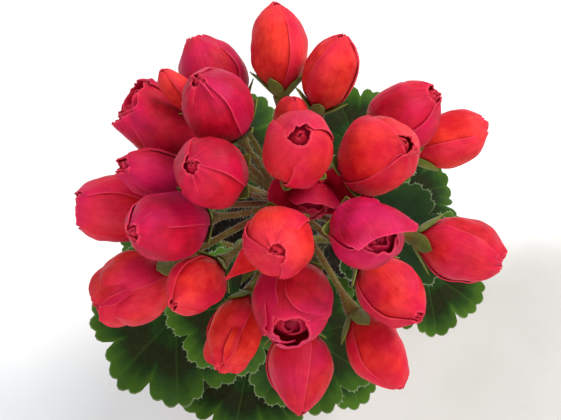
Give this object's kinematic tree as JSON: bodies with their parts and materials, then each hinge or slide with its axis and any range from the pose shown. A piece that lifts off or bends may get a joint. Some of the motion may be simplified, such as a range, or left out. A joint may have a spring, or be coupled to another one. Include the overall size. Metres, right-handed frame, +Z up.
{
  "type": "potted geranium",
  "caption": "Geranium in a plain clay pot, with toothed round leaves and one head of half-closed tulip-shaped blossoms.",
  "frame": {"origin": "centre of the pot's foot, on the surface it stands on", "axes": "+Z up along the pot's axis; the flower head leans toward -Y; +X to the right as seen in the picture"},
  "size_m": [0.148, 0.1499, 0.3163],
  "materials": {
    "clay": "unglazed terracotta, slightly chalky",
    "compost": "dark crumbly compost",
    "bark": "green to brown, slightly hairy",
    "leaf": "soft, with a dark zone and fine hairs",
    "stalk": "green to reddish brown, hairy",
    "petal": "satin petals with fine lengthwise veins"
  },
  "bodies": {
    "root": {"pot": "clay", "compost": "compost", "stem": "bark", "flower_stalks": "stalk", "leaf_01": "leaf", "leaf_02": "leaf", "leaf_03": "leaf", "leaf_04": "leaf", "leaf_05": "leaf", "leaf_06": "leaf", "leaf_07": "leaf", "leaf_08": "leaf", "leaf_09": "leaf", "leaf_10": "leaf", "leaf_11": "leaf", "leaf_12": "leaf", "leaf_13": "leaf", "leaf_14": "leaf", "blossom_01": "petal", "blossom_02": "petal", "blossom_03": "petal", "blossom_04": "petal", "blossom_05": "petal", "blossom_06": "petal", "blossom_07": "petal", "blossom_08": "petal", "blossom_09": "petal", "blossom_10": "petal", "blossom_11": "petal", "blossom_12": "petal", "blossom_13": "petal", "blossom_14": "petal", "blossom_15": "petal", "blossom_16": "petal", "blossom_17": "petal", "blossom_18": "petal", "blossom_19": "petal", "blossom_20": "petal", "blossom_21": "petal", "blossom_22": "petal", "blossom_23": "petal", "blossom_24": "petal", "blossom_25": "petal", "blossom_26": "petal"}
  },
  "joints": []
}
